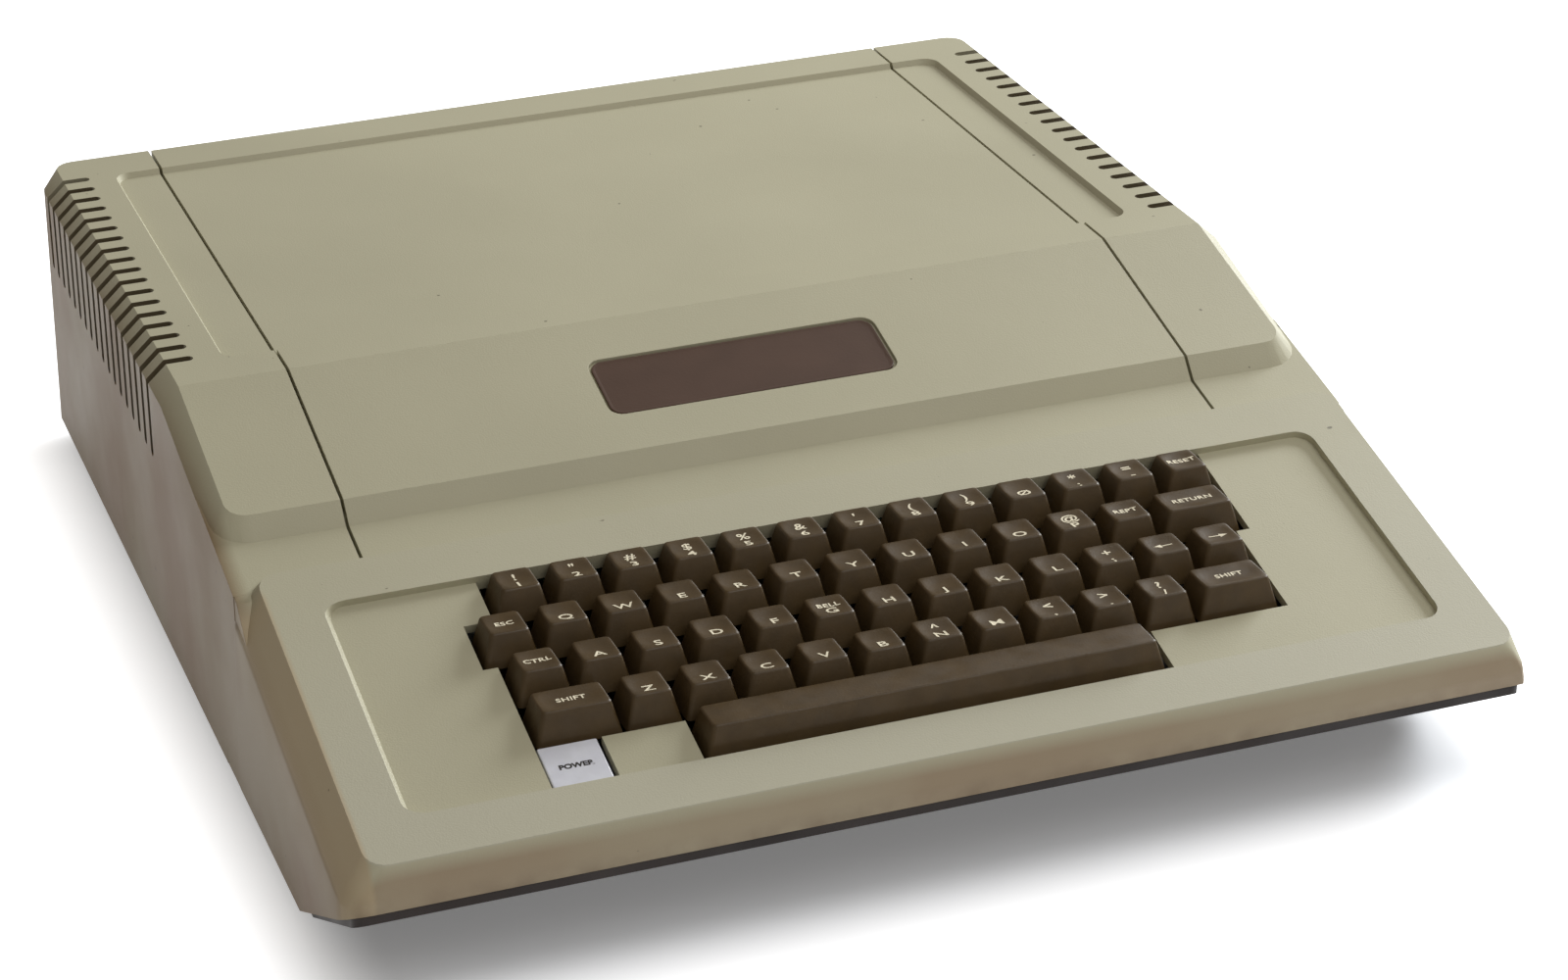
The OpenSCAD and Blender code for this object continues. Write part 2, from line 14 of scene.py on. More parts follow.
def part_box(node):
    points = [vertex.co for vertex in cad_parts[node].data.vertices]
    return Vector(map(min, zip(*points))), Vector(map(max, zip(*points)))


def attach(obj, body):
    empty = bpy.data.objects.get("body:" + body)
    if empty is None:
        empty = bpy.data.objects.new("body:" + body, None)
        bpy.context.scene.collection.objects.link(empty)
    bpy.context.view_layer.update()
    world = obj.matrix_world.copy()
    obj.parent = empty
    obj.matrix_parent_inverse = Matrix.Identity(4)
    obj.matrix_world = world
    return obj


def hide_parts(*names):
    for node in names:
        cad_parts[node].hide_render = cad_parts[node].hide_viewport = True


bl_info = {
    "name": "Vintage Home Computer",
    "version": (1, 0, 0),
    "blender": (4, 5, 0),
    "location": "View3D > Sidebar > Computer",
    "description": "Finishes, key legends and studio for a vintage home computer",
    "category": "Object",
}

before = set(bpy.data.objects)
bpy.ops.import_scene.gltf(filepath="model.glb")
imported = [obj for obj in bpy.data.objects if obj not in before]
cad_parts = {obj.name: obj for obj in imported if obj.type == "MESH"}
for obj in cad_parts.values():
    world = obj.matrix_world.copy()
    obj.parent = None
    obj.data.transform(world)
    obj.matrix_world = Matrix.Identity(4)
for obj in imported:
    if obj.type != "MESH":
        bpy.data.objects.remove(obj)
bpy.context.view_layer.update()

MM = 0.001
CASE_BODY = "case"
CAD_KEYS = sorted(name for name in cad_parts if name.startswith("key_"))
DECK_TILT = math.radians(13.9)
DECK_NORMAL = Vector((0, -math.sin(DECK_TILT), math.cos(DECK_TILT)))
DECK_ORIGIN = Vector((0, -109.4, 77.5)) * MM  # on the tray's floor, behind the keys

# In the deck's frame, where Z is square to the keys' deck: the middle of a cap's skirt from
# its key's centre, and the ends of its post
SKIRT_PLACE = Vector((0, 0.3, -4.9)) * MM
POST_TOP = 3.9 * MM
POST_END = -15 * MM

# Colours of finishes that several pieces have
ZINC_COLOUR = "#A9ABAE"
NYLON_COLOUR = "#1D1C1A"
LAMINATE_COLOUR = "#2C5636"

# What each key's top says: the lower line, then the upper line if it has one
TWO_LINE_LEGENDS = {
    "key_1": ("1", "!"),
    "key_2": ("2", '"'),
    "key_3": ("3", "#"),
    "key_4": ("4", "$"),
    "key_5": ("5", "%"),
    "key_6": ("6", "&"),
    "key_7": ("7", "'"),
    "key_8": ("8", "("),
    "key_9": ("9", ")"),
    "key_colon": (":", "*"),
    "key_minus": ("-", "="),
    "key_semicolon": (";", "+"),
    "key_comma": (",", "<"),
    "key_full_stop": (".", ">"),
    "key_slash": ("/", "?"),
    "key_n": ("N", "^"),
    "key_p": ("P", "@"),
}
WORD_LEGENDS = {
    "key_escape": "ESC",
    "key_control": "CTRL",
    "key_shift_left": "SHIFT",
    "key_shift_right": "SHIFT",
    "key_return": "RETURN",
    "key_repeat": "REPT",
    "key_reset": "RESET",
}


# ---------------------------------------------------------------- colours and nodes


def linear(colour):
    """An sRGB hex colour as linear red, green, blue and alpha."""
    channels = [int(colour[i : i + 2], 16) / 255 for i in (1, 3, 5)]
    return *(c / 12.92 if c <= 0.04045 else ((c + 0.055) / 1.055) ** 2.4 for c in channels), 1.0


def shade_of(colour, factor):
    """The same colour, lighter or darker."""
    return *(min(1.0, c * factor) for c in colour[:3]), 1.0


def per_mm(size):
    """The scale of a pattern on metres whose features are this many millimetres apart."""
    return 1 / (size * MM)


def add(tree, kind, inputs=None, **settings):
    """Adds a shader node, sets its settings, and sets or links its inputs."""
    node = tree.nodes.new("ShaderNode" + kind)
    for name, value in settings.items():
        setattr(node, name, value)
    for name, value in (inputs or {}).items():
        if isinstance(value, bpy.types.NodeSocket):
            tree.links.new(value, node.inputs[name])
        else:
            node.inputs[name].default_value = value
    return node


def maths(tree, operation, *values):
    return add(tree, "Math", dict(enumerate(values)), operation=operation).outputs["Value"]


def ramp(tree, value, first, last, high=1.0, low=0.0, **settings):
    """A value that goes from low to high while another goes from first to last."""
    return add(tree, "MapRange", {"Value": value, "From Min": first, "From Max": last,
                                  "To Min": low, "To Max": high}, **settings).outputs["Result"]


def blend(tree, share, first, second):
    """Two colours mixed, with this share of the second."""
    return add(tree, "Mix", {0: share, 6: first, 7: second}, data_type="RGBA").outputs[2]


def new_surface(name, colour, roughness, ior=1.5, metallic=0.0, specular=0.5):
    """A material with one shader. Returns it, its tree, its shader and the place on a piece."""
    material = bpy.data.materials.new(name)
    material.use_nodes = True
    material.diffuse_color = tuple(colour)
    tree = material.node_tree
    shader = tree.nodes["Principled BSDF"]
    shader.inputs["Base Color"].default_value = tuple(colour)
    shader.inputs["Roughness"].default_value = roughness
    shader.inputs["IOR"].default_value = ior
    shader.inputs["Metallic"].default_value = metallic
    shader.inputs["Specular IOR Level"].default_value = specular
    return material, tree, shader, add(tree, "TexCoord").outputs["Object"]


def drift(tree, place, size, low=0.0, high=1.0, band=(0.35, 0.65), detail=3.0):
    """A value that drifts from low to high over the piece, in patches of this size in mm."""
    patches = add(tree, "TexNoise", {"Vector": place, "Scale": per_mm(size), "Detail": detail})
    return ramp(tree, patches.outputs["Fac"], *band, high, low)


def mottle(tree, shader, place, size, first, second, **pattern):
    """Lets the base colour drift between two colours. Returns the colour's socket."""
    colour = blend(tree, drift(tree, place, size, **pattern), first, second)
    tree.links.new(colour, shader.inputs["Base Color"])
    return colour


def stained(tree, colour, dirt_or_shade_colour, *masks):
    """The colour with a second colour mixed in where all the masks let it: dirt and wear in some
    uses, painted shade in others. Returns the socket.
    """
    share = masks[0]
    for mask in masks[1:]:
        share = maths(tree, "MULTIPLY", share, mask)
    return blend(tree, share, colour, linear(dirt_or_shade_colour))


def grain(tree, shader, height, depth, under=None):
    """Raises the surface by a height pattern, this many mm at most. Returns the normal."""
    inputs = {"Height": height, "Distance": depth * MM}
    if under is not None:
        inputs["Normal"] = under
    normal = add(tree, "Bump", inputs).outputs["Normal"]
    tree.links.new(normal, shader.inputs["Normal"])
    return normal


# ---------------------------------------------------------------- materials


def moulded_abs(colour):
    """ABS moulded against a spark-eroded tool: even, matt and pebbled, aged a little yellow.

    The pebbles are about 0.6 mm apart. Shade is painted into the colour as a browner tone on the
    nose, the left wall and the slope above it. The nose is darker along its lower edge, in
    patches, shade is painted on the walls of the vent slots, and a few tiny specks of dirt lie
    about.
    """
    material, tree, shader, place = new_surface("moulded_abs", colour, 0.55, ior=1.54,
                                                specular=0.35)
    fresh = mottle(tree, shader, place, 140, shade_of(colour, 0.96), shade_of(colour, 1.03))
    spot = add(tree, "SeparateXYZ", {"Vector": place}).outputs
    faced = add(tree, "SeparateXYZ", {"Vector": add(tree, "TexCoord").outputs["Normal"]}).outputs
    greyed = rim_greyed(tree, place, spot["Y"], fresh)
    nose = ramp(tree, spot["Y"], -221.5 * MM, -223.5 * MM)
    # Painted shade: the nose, the left wall and the slope above it in a darker, browner tone
    side_shaded = sides_browned(tree, place, spot, faced["X"], nose, greyed)
    # Darker along the nose's lower edge, in patches
    low = ramp(tree, spot["Z"], 44.5 * MM, 38.5 * MM)
    patches = drift(tree, place, 14, high=0.5, band=(0.4, 0.7), detail=4)
    low_nose_darkened = stained(tree, side_shaded, "#5F4B36", low, nose, patches)
    # Painted shade on the walls of the vent slots
    slot_shaded = slots_dusted(tree, spot, faced["Y"], low_nose_darkened)
    specks = drift(tree, place, 3.4, high=0.6, band=(0.885, 0.9), detail=0)
    dotted = stained(tree, slot_shaded, "#3A3226", specks)
    tree.links.new(dotted, shader.inputs["Base Color"])
    tree.links.new(drift(tree, place, 60, 0.52, 0.6), shader.inputs["Roughness"])
    waves = grain(tree, shader, drift(tree, place, 12, detail=1), 0.015)
    grain(tree, shader, drift(tree, place, 0.6, detail=1.5), 0.02, under=waves)
    return material


def sides_browned(tree, place, spot, turn, nose, colour):
    """Paints shade into the colour as a browner tone: on the nose, the left wall and, less deeply,
    the slope between it and the deck.
    """
    upright, leaning = -0.9, -0.72  # X of the normals of walls that get the full painted shade and none of it
    side = ramp(tree, spot["X"], -182.5 * MM, -184 * MM)  # left of the deck's flat top
    turned = ramp(tree, turn, leaning, upright)
    off_wall = ramp(tree, spot["X"], -193.2 * MM, -192 * MM, side)
    slope = ramp(tree, spot["Y"], -97 * MM, -103 * MM, off_wall)
    # Painted shade comes onto the rounded top of the wall little by little, outward and down
    outward = ramp(tree, spot["X"], -186 * MM, -192 * MM)
    below = ramp(tree, spot["Z"], 125 * MM, 85 * MM, outward)
    left = ramp(tree, maths(tree, "MAXIMUM", turned, below), 0, 1, side)
    patchy = drift(tree, place, 70, 0.65, 0.95)
    for mask, brown in ((nose, "#97866E"), (left, "#6E512C"), (slope, "#B3A284")):
        colour = stained(tree, colour, brown, mask, patchy)
    return colour


def slots_dusted(tree, spot, turn, colour):
    """Paints shade on the walls of the vent slots, darkening them."""
    outer = ramp(tree, maths(tree, "ABSOLUTE", spot["X"]), 173.5 * MM, 175 * MM)
    walls = ramp(tree, maths(tree, "ABSOLUTE", turn), 0.5, 0.8, outer)
    short = ramp(tree, spot["Y"], 208 * MM, 204 * MM, walls)  # ends ahead of the rear wall
    slots = ramp(tree, spot["Y"], 0, 4 * MM, short)  # starts behind the brow
    return stained(tree, colour, "#574D39", slots)


def rim_greyed(tree, place, along, colour):
    """Greys the colour on the deck's rim, around the sunken tray, where hands have rested."""
    height = add(tree, "VectorMath", {0: place, 1: DECK_NORMAL}, operation="DOT_PRODUCT")
    floor = DECK_NORMAL.dot(DECK_ORIGIN) / MM
    raised = ramp(tree, height.outputs["Value"], (floor + 1.9) * MM, (floor + 2.4) * MM)
    ahead = maths(tree, "LESS_THAN", along, -90.8 * MM)
    rubbed = ramp(tree, along, -100 * MM, -200 * MM, low=0.35)
    return stained(tree, colour, "#B5B29E", raised, ahead, rubbed)


def keycap_abs(colour):
    """Dense ABS of double-shot caps: dark, satin, polished a little by fingers on top."""
    material, tree, shader, place = new_surface("keycap_abs", colour, 0.5, ior=1.54,
                                                specular=0.35)
    mottle(tree, shader, place, 7, shade_of(colour, 0.9), shade_of(colour, 1.12))
    tree.links.new(drift(tree, place, 9, 0.42, 0.58), shader.inputs["Roughness"])
    grain(tree, shader, drift(tree, place, 0.7, detail=1), 0.012)
    return material


def legend_abs(colour):
    """The cap's second shot of ABS, ivory and a little dulled."""
    material, tree, shader, place = new_surface("legend_abs", colour, 0.5, ior=1.54)
    mottle(tree, shader, place, 1.2, shade_of(colour, 0.85), colour)
    return material


def lamp_acrylic(colour):
    """Opal acrylic: milky white and smooth, so light sinks into it a little."""
    material, tree, shader, place = new_surface("lamp_acrylic", colour, 0.25, ior=1.49)
    shader.inputs["Subsurface Weight"].default_value = 0.2
    shader.inputs["Subsurface Radius"].default_value = (0.002, 0.002, 0.0025)
    shader.inputs["Subsurface Scale"].default_value = 1.0
    mottle(tree, shader, place, 5, shade_of(colour, 0.95), shade_of(colour, 1.02))
    return material


def lamp_print(colour):
    """Dark ink printed on the lamp, rubbed thin in places."""
    material, tree, shader, place = new_surface("lamp_print", colour, 0.5)
    mottle(tree, shader, place, 0.8, colour, shade_of(colour, 3), band=(0.5, 0.8))
    return material


def badge_enamel(colour):
    """Baked enamel on a thin plate: even, dark brown and satin, with a fine orange peel."""
    material, tree, shader, place = new_surface("badge_enamel", colour, 0.5, specular=0.3)
    mottle(tree, shader, place, 20, shade_of(colour, 0.93), shade_of(colour, 1.06))
    grain(tree, shader, drift(tree, place, 1.1, detail=1), 0.008)
    return material


def painted_steel(colour):
    """Sheet steel with dark sprayed paint: satin, with spray texture and rubbed patches."""
    material, tree, shader, place = new_surface("painted_steel", colour, 0.5, specular=0.25)
    mottle(tree, shader, place, 30, shade_of(colour, 0.8), shade_of(colour, 1.5), detail=5)
    tree.links.new(drift(tree, place, 22, 0.45, 0.6), shader.inputs["Roughness"])
    grain(tree, shader, drift(tree, place, 1.4, detail=1), 0.015)
    return material


def foot_rubber(colour):
    """Moulded rubber: nearly black and dull, greyed by dust."""
    material, tree, shader, place = new_surface("foot_rubber", colour, 0.85)
    mottle(tree, shader, place, 4, colour, shade_of(colour, 2.0))
    grain(tree, shader, drift(tree, place, 0.8), 0.02)
    return material


def zinc_plate(colour):
    """Zinc-plated steel: bright grey metal with a cloudy passivated skin."""
    material, tree, shader, place = new_surface("zinc_plate", colour, 0.34, metallic=1.0)
    mottle(tree, shader, place, 12, shade_of(colour, 0.82), shade_of(colour, 1.08), detail=4)
    tree.links.new(drift(tree, place, 9, 0.28, 0.44), shader.inputs["Roughness"])
    return material


def chromated_steel(colour):
    """Steel with a yellow chromate finish: gold-grey metal, clouded in soft patches."""
    material, tree, shader, place = new_surface("chromated_steel", colour, 0.4, metallic=1.0)
    mottle(tree, shader, place, 35, shade_of(colour, 0.78), shade_of(colour, 1.12), detail=5)
    tree.links.new(drift(tree, place, 18, 0.32, 0.5), shader.inputs["Roughness"])
    return material


def board_laminate(colour):
    """Glass-epoxy laminate under green solder resist, with fine tracks that show through."""
    material, tree, shader, place = new_surface("board_laminate", colour, 0.35, ior=1.55)
    bands = add(tree, "TexWave", {"Vector": place, "Scale": per_mm(16), "Distortion": 5.0,
                                  "Detail": 1.0, "Detail Scale": 0.4})
    tracks = ramp(tree, bands.outputs["Fac"], 0.55, 0.65, 0.55)
    tint = blend(tree, tracks, tuple(colour), linear("#5E8A55"))
    tree.links.new(tint, shader.inputs["Base Color"])
    grain(tree, shader, tracks, 0.03)
    return material


def moulded_epoxy(colour):
    """Black epoxy of a chip's body: matt with a fine sparkle of filler."""
    material, tree, shader, place = new_surface("moulded_epoxy", colour, 0.55)
    mottle(tree, shader, place, 0.7, shade_of(colour, 0.7), shade_of(colour, 1.5))
    return material


def filled_nylon(colour):
    """Glass-filled nylon of sockets and switch housings: dark and slightly mottled."""
    material, tree, shader, place = new_surface("filled_nylon", colour, 0.5)
    mottle(tree, shader, place, 3, shade_of(colour, 0.8), shade_of(colour, 1.3))
    return material


def rocker_gloss(colour):
    """Glossy black thermoplastic of the rocker, with faint finger marks."""
    material, tree, shader, place = new_surface("rocker_gloss", colour, 0.2)
    mottle(tree, shader, place, 5, shade_of(colour, 0.9), shade_of(colour, 1.3))
    tree.links.new(drift(tree, place, 6, 0.14, 0.32, detail=4), shader.inputs["Roughness"])
    return material


# ---------------------------------------------------------------- modelling helpers


def deselect_all():
    if bpy.context.object and bpy.context.object.mode != "OBJECT":
        bpy.ops.object.mode_set(mode="OBJECT")
    bpy.ops.object.select_all(action="DESELECT")


def only(piece):
    """Makes one piece the selected and active one."""
    deselect_all()
    piece.select_set(True)
    bpy.context.view_layer.objects.active = piece


def choose(piece, kind, test):
    """In edit mode, selects the faces or edges that pass the test."""
    mesh = bmesh.from_edit_mesh(piece.data)
    bpy.ops.mesh.select_mode(type={"faces": "FACE", "edges": "EDGE"}[kind])
    bpy.ops.mesh.select_all(action="DESELECT")
    for element in [e for e in getattr(mesh, kind) if test(e)]:
        element.select_set(True)
    mesh.select_flush_mode()
    bmesh.update_edit_mesh(piece.data)


def apply_place(piece):
    """Moves a piece's place, turn and size into its mesh."""
    only(piece)
    bpy.ops.object.transform_apply(location=True, rotation=True, scale=True)


def apply_modifier(piece, kind, **settings):
    only(piece)
    modifier = piece.modifiers.new(kind.title(), kind)
    for name, value in settings.items():
        setattr(modifier, name, value)
    bpy.ops.object.modifier_apply(modifier=modifier.name)


def joined(pieces, name):
    """Several pieces as one."""
    deselect_all()
    for piece in pieces:
        piece.select_set(True)
    bpy.context.view_layer.objects.active = pieces[0]
    if len(pieces) > 1:
        bpy.ops.object.join()
    pieces[0].name = name
    return pieces[0]


def new_box(size, middle=(0, 0, 0)):
    deselect_all()
    bpy.ops.mesh.primitive_cube_add(size=1, location=middle)
    box = bpy.context.object
    box.scale = size
    apply_place(box)
    return box


def merged_copy(node, name, whole_faces=True):
    """A copy of a CAD node with its points merged, and its triangles merged into faces.

    A face with many slots in it keeps its triangles, because one whole face would tear.
    """
    only(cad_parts[node])
    bpy.ops.object.duplicate()
    piece = bpy.context.object
    piece.name = name
    piece.parent = None
    for key in list(piece.keys()):
        del piece[key]
    piece.data.materials.clear()
    bpy.ops.object.mode_set(mode="EDIT")
    bpy.ops.mesh.select_all(action="SELECT")
    bpy.ops.mesh.remove_doubles(threshold=0.00001)
    if whole_faces:
        bpy.ops.mesh.dissolve_limited(angle_limit=math.radians(0.6))
    bpy.ops.object.mode_set(mode="OBJECT")
    return piece


def soften(piece, width_mm, segments=2, angle=32, share=None, crisp=None):
    """Rounds a piece's sharp edges and smooths its shallow ones.

    With share, an edge gets that share of the width, worked out from its middle. An edge
    that crisp picks keeps its line, however shallow it is.
    """
    sharp = math.radians(angle)
    limit = "ANGLE" if share is None else "WEIGHT"
    if share is not None:
        mesh = bmesh.new()
        mesh.from_mesh(piece.data)
        weight = mesh.edges.layers.float.new("bevel_weight_edge")
        for edge in mesh.edges:
            if edge.calc_face_angle(0) > sharp:
                edge[weight] = share((edge.verts[0].co + edge.verts[1].co) / 2)
        mesh.to_mesh(piece.data)
        mesh.free()
    apply_modifier(piece, "BEVEL", width=width_mm * MM, segments=segments, limit_method=limit,
                   angle_limit=sharp, miter_outer="MITER_ARC")
    only(piece)
    bpy.ops.object.shade_smooth_by_angle(angle=sharp)
    if crisp is not None:
        for edge in piece.data.edges:
            if crisp(*(piece.data.vertices[index].co for index in edge.vertices)):
                edge.use_edge_sharp = True
    apply_modifier(piece, "WEIGHTED_NORMAL", weight=80, keep_sharp=True)


def raised_lettering(words, size, raised, grown, wide, spacing=1.0, steps=12):
    """Lettering as a mesh, centred, with its strokes grown and its width stretched."""
    deselect_all()
    bpy.ops.object.text_add(location=(0, 0, 0))
    text = bpy.context.object.data
    text.body = words
    text.size = size
    text.align_x = "CENTER"
    text.align_y = "CENTER"
    text.offset = grown
    text.space_character = spacing
    text.extrude = raised
    text.resolution_u = steps
    bpy.ops.object.convert(target="MESH")
    lettering = bpy.context.object
    lettering.data.transform(Matrix.Diagonal((wide, 1, 1, 1)))
    return lettering


def finish_piece(piece, material, body, slot, *nodes):
    """Gives a piece its material and its body, and hides the nodes that it stands for. The slot is
    not used.
    """
    if material is not None:
        piece.data.materials.clear()
        piece.data.materials.append(material)
    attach(piece, body)
    if nodes:
        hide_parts(*nodes)


def material_of(maker, colour):
    """The material that the maker gives, made on first use."""
    return bpy.data.materials.get(maker.__name__) or maker(colour)


# ---------------------------------------------------------------- settings


def colour_setting(name, description, colour):
    return FloatVectorProperty(name=name, description=description, default=linear(colour),
                               subtype="COLOR", size=4, min=0, max=1)


def length_setting(name, description, length_mm):
    return FloatProperty(name=name, description=description, default=length_mm * MM,
                         unit="LENGTH")


class CaseSettings(bpy.types.PropertyGroup):
    """Finish of the shells."""

    colour: colour_setting(
        "Case Colour", "Colour of the moulded shells", "#B3AF96")
    edge: FloatProperty(
        name="Edge Rounding", description="Rounding along the shells' edges, in millimetres",
        default=0.7, min=0.1, max=1.5)
    badge_colour: colour_setting(
        "Badge Colour", "Colour of the bare badge plate", "#523E33")
    pan_colour: colour_setting(
        "Pan Colour", "Colour of the steel base pan", "#241D1A")


class KeySettings(bpy.types.PropertyGroup):
    """Sizes and colours of the key caps."""

    height: length_setting(
        "Cap Height", "Height of a cap from its skirt to its top", 11)
    top_width: length_setting(
        "Top Width", "Width of a single cap's top", 12.4)
    top_depth: length_setting(
        "Top Depth", "Depth of a cap's top", 13.4)
    dish: length_setting(
        "Dish", "Depth of the dish in a cap's top", 0.7)
    corner: length_setting(
        "Corner Radius", "Rounding of a cap's upright corners", 1.5)
    wall: length_setting(
        "Wall", "Thickness of a cap's walls", 1.3)
    letter: length_setting(
        "Letter Size", "Type size of a letter on a cap", 5.3)
    word: length_setting(
        "Word Size", "Type size of a word on a cap", 3.15)
    colour: colour_setting(
        "Cap Colour", "Colour of the caps", "#48381F")
    legend_colour: colour_setting(
        "Legend Colour", "Colour of the legends", "#EFE6CC")
    lamp_colour: colour_setting(
        "Lamp Colour", "Colour of the power lamp's cap", "#DADCE6")


class StageSettings(bpy.types.PropertyGroup):
    """Camera, lights and floor."""

    camera_place: FloatVectorProperty(
        name="Camera Place", description="Where the camera stands",
        default=(-0.39105, -1.14134, 0.62383), subtype="TRANSLATION")
    camera_turn: FloatVectorProperty(
        name="Camera Turn", description="The camera's turn about X, Y and Z",
        default=tuple(math.radians(a) for a in (64.161, 1.686, -18.653)), subtype="EULER")
    lens: FloatProperty(
        name="Lens", description="Focal length in millimetres on a 36 mm wide sensor",
        default=87.65, min=10, max=300)
    key_light: FloatProperty(
        name="Key Light", description="Power of the large light behind and to the right",
        default=54.0, unit="POWER")
    sky: FloatProperty(
        name="Sky", description="Strength of the even light from all round",
        default=0.25, min=0, max=2)


# ---------------------------------------------------------------- operators


class COMPUTER_OT_shells(bpy.types.Operator):
    """Finishes the upper case and the lift-off lid"""

    bl_idname = "computer.shells"
    bl_label = "Case and Lid"

    # Places on the solids, in mm; those along X are taken from the middle
    seam = 148.5
    side = 193.7
    vents_from = 15.0
    brow = 3.3
    tray_reach = 174.0
    tray_wall = (-170, -159.8)
    tray_rim = (2.2, 2.8)  # heights over the tray's floor
    deck_edge = 183.3  # where the deck's flat top ends
    deck_foot = 191.6  # where its shoulder has fallen nearly all the way
    deck_corner = 174.5
    deck_rear = -86.0
    deck_bend = (-110, -150)  # between these, the shoulder's foot starts to move too
    valley_start = Vector((0, -70.3, 85.7))
    valley_tilt = math.radians(12.875)
    wedge_along = (-14, -28.4)  # from valley_start, down the valley
    wedge_across = (191.7, 178)
    wedge_low = ((191.9, -114, 65.4), (184, -114, 65.4), (192.3, -98, 60), (192.3, -84, 60),
                 (184, -98, 60), (184, -84, 60))

    # How far the photo has an edge from where the solids have it, in mm
    wall_lean = 1.9
    crease_moves = {-1: 0.8, 1: 5.4}
    foot_share = 0.12

    def execute(self, context):
        settings = context.scene.computer_case
        plastic = material_of(moulded_abs, settings.colour)
        for node, body in (("upper_case", CASE_BODY), ("lid", "lid")):
            shell = merged_copy(node, node + "_shell")
            self.lean_tray(shell)
            self.widen_deck(shell)
            soften(shell, settings.edge, share=self.edge_share, crisp=self.on_brow)
            if node == "upper_case":
                shell = joined([shell, self.valley_corner(-1), self.valley_corner(1)], shell.name)
            finish_piece(shell, plastic, body, "case_plastic", node)
        return {"FINISHED"}

    def lean_tray(self, piece):
        """Leans the left wall of the tray out, so that it catches the light."""
        for vertex in piece.data.vertices:
            x = vertex.co.x / MM
            if not self.tray_wall[0] < x < self.tray_wall[1]:
                continue
            if self.tray_rim[0] < self.on_deck(vertex.co).z < self.tray_rim[1]:
                lean = min(1.0, (self.tray_wall[1] - x) / 6)
                vertex.co.x -= self.wall_lean * MM * lean

    def widen_deck(self, piece):
        """Moves the upper edge of the deck's sides out a little, more on the right."""
        for vertex in piece.data.vertices:
            x, y = abs(vertex.co.x) / MM, vertex.co.y / MM
            if x < self.deck_corner or y > self.deck_rear:
                continue
            side = math.copysign(1, vertex.co.x)
            lean = self.share_of(x, self.deck_foot, self.deck_edge)
            foot = self.foot_share * self.share_of(y, *self.deck_bend)
            shift = self.crease_moves[side] * (foot + (1 - foot) * lean)
            shift *= min(1.0, (self.deck_rear - y) / 4) * min(1.0, (self.side - x) / 0.9)
            vertex.co.x += side * shift * MM

    def share_of(self, place, first, last):
        """How far a place has come from the first to the last, from 0 to 1."""
        return min(1.0, max(0.0, (place - first) / (last - first)))

    def valley_corner(self, side):
        """A wedge that carries the valley's floor down into the deck's rounded shoulder."""
        down_valley = Matrix.Rotation(self.valley_tilt, 3, "X")
        just_under = -0.03
        points = [down_valley @ Vector((side * x, along, just_under)) + self.valley_start
                  for along in self.wedge_along for x in self.wedge_across]
        points += [Vector((side * x, y, z)) for x, y, z in self.wedge_low]
        deselect_all()
        mesh = bpy.data.meshes.new("valley_corner")
        mesh.from_pydata([point * MM for point in points], [], [])
        wedge = bpy.data.objects.new("valley_corner", mesh)
        bpy.context.collection.objects.link(wedge)
        only(wedge)
        bpy.ops.object.mode_set(mode="EDIT")
        bpy.ops.mesh.select_all(action="SELECT")
        bpy.ops.mesh.convex_hull()
        bpy.ops.object.mode_set(mode="OBJECT")
        self.widen_deck(wedge)
        soften(wedge, 0.3, angle=20)
        return wedge

    def on_deck(self, point):
        """A point in the deck's frame, in mm, with its height over the tray's floor as Z."""
        return (point - DECK_ORIGIN) @ Matrix.Rotation(DECK_TILT, 3, "X") / MM

    def edge_share(self, middle):
        """The share of the full rounding that an edge gets: seams and slots are crisp."""
        x, y = abs(middle.x) / MM, middle.y / MM
        if abs(x - self.seam) < 3:
            return 0.35
        if y > self.vents_from:
            return 0.4
        return 0.6 if x < self.tray_reach and abs(self.on_deck(middle).z) < 1.2 else 1.0

    def on_brow(self, start, end):
        """Whether an edge lies on the line where the flat top starts to slope."""
        near = 0.3 * MM
        return all(abs(p.y - self.brow * MM) < near and p.z > 105 * MM for p in (start, end))


class COMPUTER_OT_badge(bpy.types.Operator):
    """Lays a bare badge plate in the recess of the lid's brow"""

    bl_idname = "computer.badge"
    bl_label = "Badge Plate"

    width = 101 * MM
    depth = 28.4 * MM
    thickness = 0.9 * MM
    corner = 4.6 * MM
    lip = 1.0 * MM
    step = (0.3 * MM, 0.2 * MM)  # width and depth of the step inside the lip
    sunk = 1.35 * MM  # how deep its underside lies under the brow
    slope_start = Vector((0, -64.4, 92.7)) * MM
    up_slope = 33.6 * MM
    tilt = math.atan(17.8 / 67.7)

    def execute(self, context):
        plate = new_box((self.width, self.depth, self.thickness))
        plate.name = "badge_plate"
        bpy.ops.object.mode_set(mode="EDIT")
        upright = self.thickness / 2
        choose(plate, "edges", lambda e: abs((e.verts[0].co - e.verts[1].co).z) > upright)
        bpy.ops.mesh.bevel(offset=self.corner, segments=8, affect="EDGES")
        choose(plate, "faces", lambda f: f.normal.z > 0.9)
        bpy.ops.mesh.inset(thickness=self.lip)
        bpy.ops.mesh.inset(thickness=self.step[0])
        bpy.ops.transform.translate(value=(0, 0, -self.step[1]))
        bpy.ops.object.mode_set(mode="OBJECT")
        soften(plate, 0.2, angle=50)
        middle = Vector((0, self.up_slope, self.thickness / 2 - self.sunk))
        plate.location = self.slope_start + Matrix.Rotation(self.tilt, 3, "X") @ middle
        plate.rotation_euler = (self.tilt, 0, 0)
        apply_place(plate)
        colour = context.scene.computer_case.badge_colour
        enamel = material_of(badge_enamel, colour)
        finish_piece(plate, enamel, "lid", "key_plastic")
        return {"FINISHED"}


